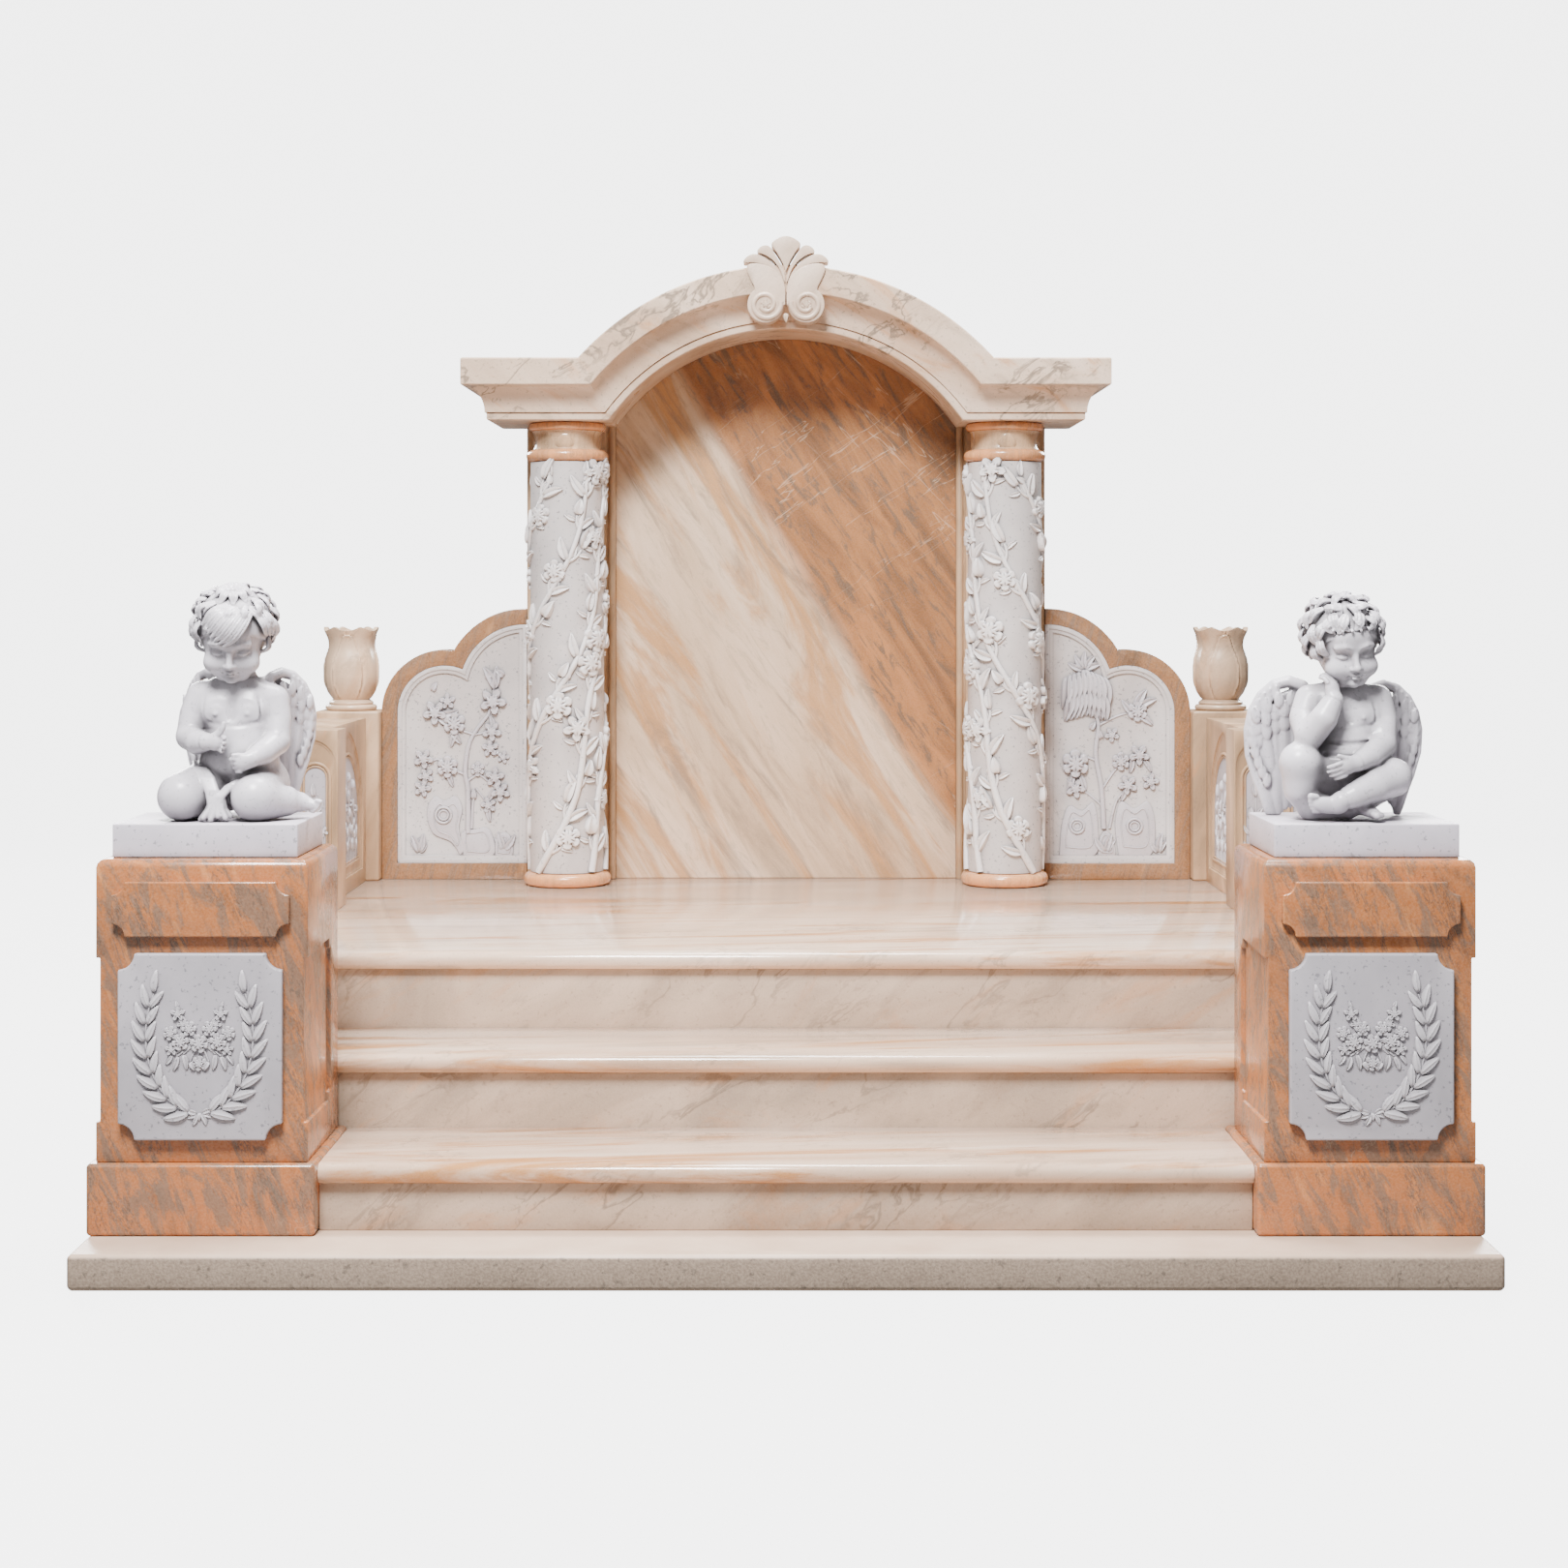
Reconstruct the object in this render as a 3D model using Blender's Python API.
"""A marble grave surround: a stepped terrace with an arched headstone between two carved
columns, with wings, vases and low walls at its sides and a cherub on a pedestal beside the
steps.

Metres, +Z up. X runs across the front, the front faces -Y, and the origin is under the
middle of the base slab.
"""

import math

import bmesh
import bpy
from mathutils import Vector

# Joint between two stones, and the room kept between neighbours that don't touch
GAP = 0.0003
CLEARANCE = 0.004
EDGE_BEVEL = 0.004
CUT_MARGIN = 0.02
BEVEL_OVER = 40
SHARP_OVER = 35

# Base slab
BASE_WIDTH = 3.0
BASE_DEPTH = 2.62
BASE_HEIGHT = 0.077

# Steps: rises from the base slab up, each counted to the top of its tread
STEP_1_RISE = 0.148
STEP_2_RISE = 0.171
STEP_3_RISE = 0.188
STEP_1_SETBACK = 0.204
STEP_1_GOING = 0.357
STEP_2_GOING = 0.342
TREAD_THICKNESS = 0.045
NOSING = 0.025
TERRACE_INSET = 0.010

# Pedestals beside the lowest step
PLINTH_WIDTH = 0.490
PLINTH_SETBACK = 0.150
PLINTH_HEIGHT = 0.155
DIE_INSET = 0.0175
DIE_HEIGHT = 0.651
DIE_TOP_ROUND = 0.018
SIDE_RECESS_DEPTH = 0.009
SIDE_RECESS_BOTTOM = 0.080
SIDE_RECESS_TOP = 0.205
SIDE_RECESS_BACK = 0.085
SIDE_RECESS_CORNER = 0.022

# Tablet and wreath panel on each pedestal's front
TABLET_WIDTH = 0.381
TABLET_HEIGHT = 0.118
TABLET_THICKNESS = 0.018
TABLET_NOTCH = 0.028
TABLET_BELOW_TOP = 0.047
WREATH_PANEL_WIDTH = 0.352
WREATH_PANEL_HEIGHT = 0.400
WREATH_PANEL_THICKNESS = 0.020
WREATH_PANEL_NOTCH = 0.035
WREATH_PANEL_ABOVE_PLINTH = 0.051
WREATH_LEAF_LENGTH = 0.058
WREATH_LEAF_WIDTH = 0.024
WREATH_RELIEF = 0.007
WREATH_LEAF_PAIRS = 7
WREATH_HALF_WIDTH = 0.115
WREATH_FOOT = -0.142
WREATH_TIP = 0.115
WREATH_START = -86
WREATH_END = 32
WREATH_KNOT = 0.018
WREATH_LEAF_LEAN = 0.42
WREATH_STEP_AHEAD = 0.05
WREATH_TIP_HEADING = 98
SPRAY_REACH = 0.056
SWAG_WIDTH = 0.012

# Cherub bases and cherubs. A shift is how far the figure sits to the viewer's right of the
# middle of its base, and the blend is the grid that its limbs run together on, both as
# shares of its height.
CHERUB_BASE_WIDTH = 0.400
CHERUB_BASE_DEPTH = 0.300
CHERUB_BASE_HEIGHT = 0.073
CHERUB_BASE_SETBACK = 0.030
CHERUB_BASE_EASE = 0.002
KNEELING_CHERUB_HEIGHT = 0.512
SEATED_CHERUB_HEIGHT = 0.494
KNEELING_SHIFT = 0.065
SEATED_SHIFT = -0.045
CHERUB_BLEND = 0.01075
CHERUB_SOFTENING = 4
CHERUB_KEPT_SHARE = 0.021

# Headstone, pilasters and columns
HEADSTONE_WIDTH = 1.042
HEADSTONE_THICKNESS = 0.080
BACK_MARGIN = 0.050
ARCH_RISE = 0.2695
PILASTER_WIDTH = 0.270
PILASTER_THICKNESS = 0.115
PILASTER_BEAD = 0.022
PILASTER_STEP = 0.0066
COLUMN_BASE_RADIUS = 0.130
COLUMN_BASE_HEIGHT = 0.040
SHAFT_RADIUS = 0.110
SHAFT_HEIGHT = 1.225
SHAFT_SIDES = 20
COLUMN_SIDES = 16
CAPITAL_RADIUS = 0.123
CAPITAL_HEIGHT = 0.116
CAPITAL_RING = 0.0197
CAPITAL_NECK_RADIUS = 0.101
VINE_RELIEF = 0.013
VINE_STRANDS = 3
VINE_TURN = 0.62
VINE_SWAY = 0.06
VINE_STALK = 0.050
VINE_SHOOTS = 6
VINE_LEAN = 0.65
VINE_FLOWER_RADIUS = 0.036
VINE_LEAF_LENGTH = 0.090
VINE_LEAF_WIDTH = 0.038
VINE_STEM_WIDTH = 0.018

# Cornice and its crest
CORNICE_OVERHANG = 0.078
CORNICE_PROJECTION = 0.082
CORNICE_PAST_CAPITAL = 0.004
FILLET_PROJECTION = 0.0131
CAVETTO_STEP = 0.0052
FASCIA_HEIGHT = 0.080
CAVETTO_HEIGHT = 0.076
FILLET_HEIGHT = 0.024
ARCH_SEGMENTS = 12
CREST_HEIGHT = 0.255
CREST_THICKNESS = 0.085
CREST_PROUD = 0.012
CREST_RAISE = 0.010
CREST_HUB_SHARE = 0.58
CREST_DOME = 0.006
SCROLL_SPREAD = 0.065
SCROLL_RADIUS = 0.047
SCROLL_ARM_INSET = 0.004
SCROLL_ARM_LIFT = 0.012

# Wings beside the headstone
WING_HEIGHT = 0.826
WING_THICKNESS = 0.090
WING_SETBACK = 0.050
WING_BORDER = 0.048
WING_PANEL_THICKNESS = 0.022
WING_MOULDING = 0.024
WING_FIELD_DEPTH = 0.009
WING_PANEL_SETBACK = 0.002
WING_RELIEF = 0.010
WING_TRUNK_WIDTH = 0.024
WING_BRANCH_WIDTH = 0.013
WING_LEAF_LENGTH = 0.070
WING_LEAF_WIDTH = 0.030
BLOSSOM_RADIUS = 0.034
LOW_LOBE_SHARE = 0.432
HIGH_LOBE_SHARE = 0.563
WING_LOW_LOBE_DROP = 0.317
WING_HIGH_LOBE_SHIFT = 0.006
LOBE_STEPS = 6

# Corner posts, side walls and side piers
POST_WIDTH = 0.195
POST_DEPTH = 0.166
POST_HEIGHT = 0.515
SIDE_WALL_LENGTH = 0.573
SIDE_WALL_THICKNESS = 0.190
SIDE_WALL_INSET = 0.040
SIDE_WALL_HEIGHT = 0.495
PIER_WIDTH = 0.255
PIER_DEPTH = 0.133
ARCHED_PANEL_THICKNESS = 0.014
ARCHED_PANEL_SUNK = 0.008
ARCHED_PANEL_BOTTOM = 0.075
ARCHED_PANEL_TOP = 0.090
HOOD_SUNK = 0.0048
HOOD_BELOW_PANEL = 0.030
HOOD_BELOW_WALL_TOP = 0.027
POST_EASE = 0.005
WALL_PANEL_WIDTH = 0.400
WALL_HOOD_WIDTH = 0.480
PIER_PANEL_WIDTH = 0.084
PIER_HOOD_WIDTH = 0.116
PIER_PANEL_SPACING = 0.130

# Vases
VASE_HEIGHT = 0.255
VASE_RADIUS = 0.087
VASE_WALL = 0.013
VASE_FLOOR = 0.060
VASE_FLOOR_RADIUS = 0.068
VASE_FOOT_RADIUS = 0.0783
VASE_FOOT_HEIGHT = 0.023
VASE_STEM_RADIUS = 0.0574
VASE_STEM_HEIGHT = 0.0319
VASE_CROWN = 0.006
VASE_PETALS = 6
VASE_GROOVE = 0.005

# Stones: base colour and roughness
STONES = {
    "orange marble": ((0.72, 0.42, 0.22), 0.25),
    "headstone marble": ((0.74, 0.52, 0.34), 0.20),
    "cream marble": ((0.80, 0.72, 0.63), 0.25),
    "tan marble": ((0.76, 0.64, 0.50), 0.35),
    "white marble": ((0.80, 0.80, 0.81), 0.35),
    "speckled stone": ((0.66, 0.61, 0.54), 0.50),
}


# Levels and lines that several stones share
def step_tops():
    """Heights of the tops of tread 1, tread 2 and the landing."""
    first = BASE_HEIGHT + STEP_1_RISE
    second = first + STEP_2_RISE
    return first, second, second + STEP_3_RISE


def landing_top():
    return step_tops()[2]


FRONT = -BASE_DEPTH / 2
TERRACE_HALF = BASE_WIDTH / 2 - TERRACE_INSET
TERRACE_BACK = BASE_DEPTH / 2 - TERRACE_INSET
HEADSTONE_BACK = BASE_DEPTH / 2 - BACK_MARGIN
RISER_1_Y = FRONT + STEP_1_SETBACK
RISER_2_Y = RISER_1_Y + STEP_1_GOING
RISER_3_Y = RISER_2_Y + STEP_2_GOING
PEDESTAL_X = BASE_WIDTH / 2 - PLINTH_WIDTH / 2
PLINTH_FRONT = FRONT + PLINTH_SETBACK
DIE_WIDTH = PLINTH_WIDTH - 2 * DIE_INSET
DIE_FRONT = PLINTH_FRONT + DIE_INSET
DIE_BACK = RISER_2_Y - NOSING - CLEARANCE
DIE_BOTTOM = BASE_HEIGHT + PLINTH_HEIGHT + 2 * GAP
DIE_TOP = DIE_BOTTOM + DIE_HEIGHT
CHERUB_FLOOR = DIE_TOP + CHERUB_BASE_HEIGHT + 2 * GAP
CHERUB_Y = DIE_FRONT + CHERUB_BASE_SETBACK + CHERUB_BASE_DEPTH / 2
PILASTER_FRONT = HEADSTONE_BACK - PILASTER_THICKNESS
PILASTER_X = HEADSTONE_WIDTH / 2 + PILASTER_WIDTH / 2
PILASTER_OUTER = HEADSTONE_WIDTH / 2 + PILASTER_WIDTH
COLUMN_Y = PILASTER_FRONT - COLUMN_BASE_RADIUS - GAP
SHAFT_BOTTOM = landing_top() + COLUMN_BASE_HEIGHT + 2 * GAP
CAPITAL_BOTTOM = SHAFT_BOTTOM + SHAFT_HEIGHT + GAP
CORNICE_BOTTOM = CAPITAL_BOTTOM + CAPITAL_HEIGHT + GAP
CORNICE_HEIGHT = FILLET_HEIGHT + CAVETTO_HEIGHT + FASCIA_HEIGHT
CORNICE_FRONT = COLUMN_Y - CAPITAL_RADIUS - CORNICE_PAST_CAPITAL
ARCH_HALF = HEADSTONE_WIDTH / 2
ARCH_RADIUS = (ARCH_HALF**2 + ARCH_RISE**2) / (2 * ARCH_RISE)
ARCH_CENTRE_Z = CORNICE_BOTTOM + ARCH_RISE - ARCH_RADIUS
PIER_INNER = TERRACE_HALF - PIER_WIDTH
POST_FRONT = HEADSTONE_BACK - POST_DEPTH
WALL_FRONT = POST_FRONT - SIDE_WALL_LENGTH
WALL_INNER = PIER_INNER + SIDE_WALL_INSET
POST_X = PIER_INNER + POST_WIDTH / 2
WING_WIDTH = PIER_INNER - PILASTER_OUTER - 2 * GAP
WING_FRONT = POST_FRONT + WING_SETBACK


# Building blocks
def clear_scene():
    for old in list(bpy.data.objects):
        bpy.data.objects.remove(old, do_unlink=True)


def stone(name):
    """The material of that name, made on first use."""
    if name in bpy.data.materials:
        return bpy.data.materials[name]
    colour, roughness = STONES[name]
    material = bpy.data.materials.new(name)
    material.use_nodes = True
    shader = material.node_tree.nodes["Principled BSDF"]
    shader.inputs["Base Color"].default_value = (*colour, 1)
    shader.inputs["Roughness"].default_value = roughness
    return material


def finish_object(name, bm, material, smooth=True):
    """Turns a bmesh into a named object with its normals pointing out."""
    bmesh.ops.recalc_face_normals(bm, faces=bm.faces)
    mesh = bpy.data.meshes.new(name)
    bm.to_mesh(mesh)
    bm.free()
    obj = bpy.data.objects.new(name, mesh)
    bpy.context.scene.collection.objects.link(obj)
    if material:
        mesh.materials.append(stone(material))
    if smooth:
        mesh.shade_smooth()
        mesh.set_sharp_from_angle(angle=math.radians(SHARP_OVER))
    return obj


def hide_cutter(obj):
    obj.hide_render = True
    obj.display_type = "WIRE"
    return obj


def add_boolean(obj, other, operation):
    boolean = obj.modifiers.new(operation.title(), "BOOLEAN")
    boolean.operation = operation
    boolean.object = other
    boolean.use_self = operation == "UNION"
    hide_cutter(other)


def add_bevel(obj, width, segments=1):
    bevel = obj.modifiers.new("Bevel", "BEVEL")
    bevel.width = width
    bevel.segments = segments
    bevel.limit_method = "ANGLE"
    bevel.angle_limit = math.radians(BEVEL_OVER)


def block(name, low, high, material, bevel=EDGE_BEVEL):
    """A rectangular stone between two corners."""
    bm = bmesh.new()
    bmesh.ops.create_cube(bm, size=1)
    for vert in bm.verts:
        for axis in range(3):
            vert.co[axis] = high[axis] if vert.co[axis] > 0 else low[axis]
    obj = finish_object(name, bm, material, smooth=False)
    if bevel:
        add_bevel(obj, bevel)
    return obj


def prism(name, outline, near, far, axes, material):
    """An outline of (a, b) points swept from near to far. axes names where a, b and the
    sweep go: "XZY" is a plate that faces the front, "YZX" one that runs front to back."""
    order = ["XYZ".index(letter) for letter in axes]
    bm = bmesh.new()
    verts = []
    for a, b in outline:
        place = [0.0, 0.0, 0.0]
        place[order[0]] = a
        place[order[1]] = b
        place[order[2]] = near
        verts.append(bm.verts.new(place))
    face = bm.faces.new(verts)
    grown = bmesh.ops.extrude_face_region(bm, geom=[face])
    moved = [item for item in grown["geom"] if isinstance(item, bmesh.types.BMVert)]
    shift = Vector((0.0, 0.0, 0.0))
    shift[order[2]] = far - near
    bmesh.ops.translate(bm, verts=moved, vec=shift)
    return finish_object(name, bm, material)


def turned(name, profile, centre, material, sides):
    """A solid turned about the vertical through centre, from (radius, height) points that
    run up its outside."""
    x, y, z = centre
    bm = bmesh.new()
    rings = []
    for radius, height in profile:
        ring = []
        for i in range(sides):
            angle = 2 * math.pi * i / sides
            spot = (x + radius * math.cos(angle), y + radius * math.sin(angle), z + height)
            ring.append(bm.verts.new(spot))
        rings.append(ring)
    for lower, upper in zip(rings, rings[1:]):
        bridge(bm, lower, upper)
    bm.faces.new(reversed(rings[0]))
    bm.faces.new(rings[-1])
    return finish_object(name, bm, material)


def bridge(bm, lower, upper):
    count = len(lower)
    for i in range(count):
        j = (i + 1) % count
        bm.faces.new((lower[i], lower[j], upper[j], upper[i]))


def arc(centre, radius, start, end, steps):
    """Points along an arc, both ends included. Angles are in degrees from +a to +b."""
    points = []
    for i in range(steps + 1):
        angle = math.radians(start + (end - start) * i / steps)
        points.append(
            (centre[0] + radius * math.cos(angle), centre[1] + radius * math.sin(angle))
        )
    return points


def notched_outline(width, height, notch, steps=3):
    """A rectangle about the origin whose corners are cut by hollow quarter circles."""
    w, h = width / 2, height / 2
    return (
        arc((w, h), notch, 270, 180, steps)
        + arc((-w, h), notch, 0, -90, steps)
        + arc((-w, -h), notch, 90, 0, steps)
        + arc((w, -h), notch, 180, 90, steps)
    )


def shifted(outline, da, db):
    return [(a + da, b + db) for a, b in outline]


# Relief: leaves, flowers and stems laid on a surface by its place(u, v, height) function
def flat_place(x, y, z):
    """A surface that faces the front: u runs to +X, v up, height towards -Y."""
    return lambda u, v, height: (x + u, y - height, z + v)


def round_place(centre, radius):
    """An upright round surface: u runs round it from its front, v up, height outwards."""
    x, y, z = centre

    def place(u, v, height):
        angle = u / radius - math.pi / 2
        out = radius + height
        return (x + out * math.cos(angle), y + out * math.sin(angle), z + v)

    return place


RELIEF_BED = 0.003
ROCK_BED = 0.001
PETAL_WAIST = 0.74
LEAF_BELLY = 0.45
STEM_TAPER = 0.4


def add_tent(bm, place, rim, peak, height, bed=RELIEF_BED):
    """A low solid whose sides leave the surface at a rim of (u, v) points and rise to one
    peak. Below the surface it spreads on, so that its sides stay straight."""
    spread = (height + bed) / height
    base = []
    for u, v in rim:
        across = peak[0] + (u - peak[0]) * spread
        up = peak[1] + (v - peak[1]) * spread
        base.append(bm.verts.new(place(across, up, -bed)))
    top = bm.verts.new(place(*peak, height))
    for i, vert in enumerate(base):
        bm.faces.new((vert, base[(i + 1) % len(base)], top))
    bm.faces.new(reversed(base))


def add_leaf(bm, place, root, heading, length, width, height):
    """A pointed leaf that grows from root along heading, in radians from +u."""
    along = Vector((math.cos(heading), math.sin(heading)))
    across = Vector((-along.y, along.x)) * width / 2
    root = Vector(root)
    belly = root + along * length * LEAF_BELLY
    rim = [root, belly - across, root + along * length, belly + across]
    add_tent(bm, place, [tuple(p) for p in rim], tuple(belly), height)


def add_flower(bm, place, centre, radius, height, petals=5, turn=0.0):
    """An open flower: a star of petals that rises to its middle."""
    rim = []
    for i in range(2 * petals):
        reach = radius if i % 2 == 0 else radius * PETAL_WAIST
        angle = turn + math.pi * i / petals
        rim.append(
            (centre[0] + reach * math.cos(angle), centre[1] + reach * math.sin(angle))
        )
    add_tent(bm, place, rim, centre, height)


def add_stem(bm, place, points, width, height):
    """A ridged stem through (u, v) points, thinner towards its end."""
    rows = []
    for i, point in enumerate(points):
        before = Vector(points[max(i - 1, 0)])
        after = Vector(points[min(i + 1, len(points) - 1)])
        along = (after - before).normalized()
        half = width / 2 * (1 - STEM_TAPER * i / (len(points) - 1))
        across = Vector((-along.y, along.x)) * half
        here = Vector(point)
        rows.append(
            [
                bm.verts.new(place(*(here + across), -RELIEF_BED)),
                bm.verts.new(place(*(here - across), -RELIEF_BED)),
                bm.verts.new(place(*here, height)),
            ]
        )
    for low, high in zip(rows, rows[1:]):
        bridge(bm, low, high)
    bm.faces.new(reversed(rows[0]))
    bm.faces.new(rows[-1])


def carve_relief(obj, name, bm):
    """Joins the relief in bm to its stone."""
    relief = finish_object(name + "_relief", bm, None, smooth=False)
    add_boolean(obj, relief, "UNION")


def sides():
    """Both sides of the object, as (name, direction along X)."""
    return (("left", -1), ("right", 1))


# Base and steps
def build_base():
    block(
        "base_slab",
        (-BASE_WIDTH / 2, FRONT, 0),
        (BASE_WIDTH / 2, -FRONT, BASE_HEIGHT),
        "speckled stone",
        bevel=0.008,
    )


def tread(name, half_width, riser_y, back, top):
    """A tread slab with a round nosing that stands proud of its riser."""
    radius = (TREAD_THICKNESS - GAP) / 2
    middle = (riser_y - NOSING + radius, top - radius)
    outline = arc(middle, radius, 270, 90, 8) + [(back, top), (back, top - 2 * radius)]
    prism(name, outline, -half_width, half_width, "YZX", "cream marble")


def build_steps():
    top_1, top_2, top_3 = step_tops()
    half_1 = BASE_WIDTH / 2 - PLINTH_WIDTH - GAP
    course_2 = top_2 - TREAD_THICKNESS
    block(
        "step_1_riser",
        (-half_1, RISER_1_Y, BASE_HEIGHT + GAP),
        (half_1, RISER_2_Y - GAP, top_1 - TREAD_THICKNESS),
        "cream marble",
        bevel=0,
    )
    tread("step_1_tread", half_1, RISER_1_Y, RISER_2_Y - GAP, top_1)
    block(
        "step_2_riser",
        (-TERRACE_HALF, RISER_2_Y, BASE_HEIGHT + GAP),
        (TERRACE_HALF, TERRACE_BACK, course_2),
        "cream marble",
        bevel=0,
    )
    tread("step_2_tread", TERRACE_HALF, RISER_2_Y, RISER_3_Y - GAP, top_2)
    block(
        "step_3_riser",
        (-TERRACE_HALF, RISER_3_Y, course_2 + GAP),
        (TERRACE_HALF, TERRACE_BACK, top_3 - TREAD_THICKNESS),
        "cream marble",
        bevel=0,
    )
    tread("landing_slab", TERRACE_HALF, RISER_3_Y, TERRACE_BACK, top_3)


# Pedestals
def side_recess_cutter(name, x, direction):
    """The sunk field on a side of the die: open at the front edge, cornered at the back."""
    back = DIE_BACK - SIDE_RECESS_BACK
    low = DIE_BOTTOM + SIDE_RECESS_BOTTOM
    high = DIE_TOP - SIDE_RECESS_TOP
    corner = SIDE_RECESS_CORNER
    outline = [
        (DIE_FRONT - corner, low + corner / 3),
        (back - corner, low),
        (back - corner, low + corner),
        (back, low + corner),
        (back, high - corner),
        (back - corner, high - corner),
        (back - corner, high),
        (DIE_FRONT - corner, high - corner / 3),
    ]
    face = x + direction * DIE_WIDTH / 2
    inside = face - direction * SIDE_RECESS_DEPTH
    cutter = prism(name, outline, inside, face + direction * 0.02, "YZX", None)
    return hide_cutter(cutter)


def build_pedestal(side, direction):
    x = direction * PEDESTAL_X
    plinth_half = PLINTH_WIDTH / 2
    block(
        f"pedestal_plinth_{side}",
        (x - plinth_half, PLINTH_FRONT, BASE_HEIGHT + GAP),
        (x + plinth_half, RISER_2_Y - CLEARANCE, DIE_BOTTOM - GAP),
        "orange marble",
        bevel=0.006,
    )
    die_half = DIE_WIDTH / 2
    die = block(
        f"pedestal_die_{side}",
        (x - die_half, DIE_FRONT, DIE_BOTTOM),
        (x + die_half, DIE_BACK, DIE_TOP),
        "orange marble",
        bevel=0,
    )
    for end, face in (("inner", -direction), ("outer", direction)):
        cutter = side_recess_cutter(f"recess_cutter_{side}_{end}", x, face)
        add_boolean(die, cutter, "DIFFERENCE")
    round_die_top(die)
    build_tablet(side, x)
    build_wreath_panel(side, x)
    build_cherub_base(side, x)


def round_die_top(die):
    """Bevels only the four top edges, which carry a bevel weight."""
    mesh = die.data
    weights = mesh.attributes.new("bevel_weight_edge", "FLOAT", "EDGE")
    for edge in mesh.edges:
        ends = [mesh.vertices[i].co.z for i in edge.vertices]
        weights.data[edge.index].value = 1.0 if min(ends) > DIE_TOP - GAP else 0.0
    bevel = die.modifiers.new("Top round", "BEVEL")
    bevel.limit_method = "WEIGHT"
    bevel.width = min(DIE_TOP_ROUND, CHERUB_BASE_SETBACK)
    bevel.segments = 3
    die.modifiers.move(len(die.modifiers) - 1, 0)


def build_tablet(side, x):
    z = DIE_TOP - TABLET_BELOW_TOP - TABLET_HEIGHT / 2
    outline = shifted(notched_outline(TABLET_WIDTH, TABLET_HEIGHT, TABLET_NOTCH), x, z)
    near = DIE_FRONT - GAP - TABLET_THICKNESS
    prism(f"tablet_{side}", outline, near, DIE_FRONT - GAP, "XZY", "orange marble")


def wreath_point(share):
    """A point on the right branch of the wreath, 0 at its foot and 1 at its tip, about the
    panel's middle: an oval that draws in again towards the tip."""
    swing = math.radians(WREATH_START + (WREATH_END - WREATH_START) * share)
    u = WREATH_HALF_WIDTH * math.cos(swing)
    v = WREATH_FOOT + (WREATH_TIP - WREATH_FOOT) * (1 + math.sin(swing)) / (
        1 + math.sin(math.radians(WREATH_END))
    )
    return u, v


def wreath_leaves():
    """Every leaf of the right branch as (root, heading)."""
    leaves = []
    for i in range(WREATH_LEAF_PAIRS):
        share = i / WREATH_LEAF_PAIRS
        here = Vector(wreath_point(share))
        ahead = Vector(wreath_point(share + WREATH_STEP_AHEAD))
        run = math.atan2(ahead.y - here.y, ahead.x - here.x)
        for lean in (-WREATH_LEAF_LEAN, WREATH_LEAF_LEAN):
            leaves.append((tuple(here), run + lean))
    tip = wreath_point(1)
    leaves.append((tip, math.radians(WREATH_TIP_HEADING)))
    return leaves


def add_spray(bm, place):
    """The small spray of flowers and leaves inside the wreath, as shares of its reach."""
    reach = SPRAY_REACH
    for u, v, size in (
        (0.0, 0.0, 0.34),
        (-0.62, 0.28, 0.34),
        (0.62, 0.28, 0.34),
        (-0.50, 1.0, 0.28),
        (0.50, 1.0, 0.28),
    ):
        spot = (u * reach, v * reach)
        add_flower(bm, place, spot, size * reach, WREATH_RELIEF, turn=u)
    for direction in (-1, 1):
        root = (direction * reach * 0.55, -reach * 0.1)
        heading = direction * 0.35 - math.pi / 2
        add_leaf(bm, place, root, heading, reach, reach * 0.4, WREATH_RELIEF)
    swag = [
        (-reach * 0.5, -reach * 0.05),
        (0, -reach * 0.65),
        (reach * 0.5, -reach * 0.05),
    ]
    add_stem(bm, place, swag, SWAG_WIDTH, WREATH_RELIEF)


def build_wreath_panel(side, x):
    z = DIE_BOTTOM + WREATH_PANEL_ABOVE_PLINTH + WREATH_PANEL_HEIGHT / 2
    outline = notched_outline(WREATH_PANEL_WIDTH, WREATH_PANEL_HEIGHT, WREATH_PANEL_NOTCH)
    back = DIE_FRONT - GAP
    front = back - WREATH_PANEL_THICKNESS
    name = f"wreath_panel_{side}"
    panel = prism(name, shifted(outline, x, z), front, back, "XZY", "white marble")
    place = flat_place(x, front, z)
    bm = bmesh.new()
    for (u, v), heading in wreath_leaves():
        for flip in (1, -1):
            turned_heading = heading if flip == 1 else math.pi - heading
            add_leaf(
                bm,
                place,
                (flip * u, v),
                turned_heading,
                WREATH_LEAF_LENGTH,
                WREATH_LEAF_WIDTH,
                WREATH_RELIEF,
            )
    knot = (0, WREATH_FOOT)
    add_flower(bm, place, knot, WREATH_KNOT, WREATH_RELIEF, petals=3, turn=math.pi / 2)
    add_spray(bm, place)
    carve_relief(panel, name, bm)


def build_cherub_base(side, x):
    half = CHERUB_BASE_WIDTH / 2
    block(
        f"cherub_base_{side}",
        (x - half, CHERUB_Y - CHERUB_BASE_DEPTH / 2, DIE_TOP + GAP),
        (x + half, CHERUB_Y + CHERUB_BASE_DEPTH / 2, CHERUB_FLOOR - GAP),
        "white marble",
        bevel=CHERUB_BASE_EASE,
    )


# Headstone, pilasters and columns
def build_headstone():
    half = ARCH_HALF - GAP
    radius = ARCH_RADIUS - GAP
    swing = math.degrees(math.asin(half / radius))
    outline = arc((0, ARCH_CENTRE_Z), radius, 90 - swing, 90 + swing, ARCH_SEGMENTS)
    bottom = landing_top() + GAP
    outline += [(-half, bottom), (half, bottom)]
    near = HEADSTONE_BACK - HEADSTONE_THICKNESS
    prism("headstone_slab", outline, near, HEADSTONE_BACK, "XZY", "headstone marble")


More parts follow.
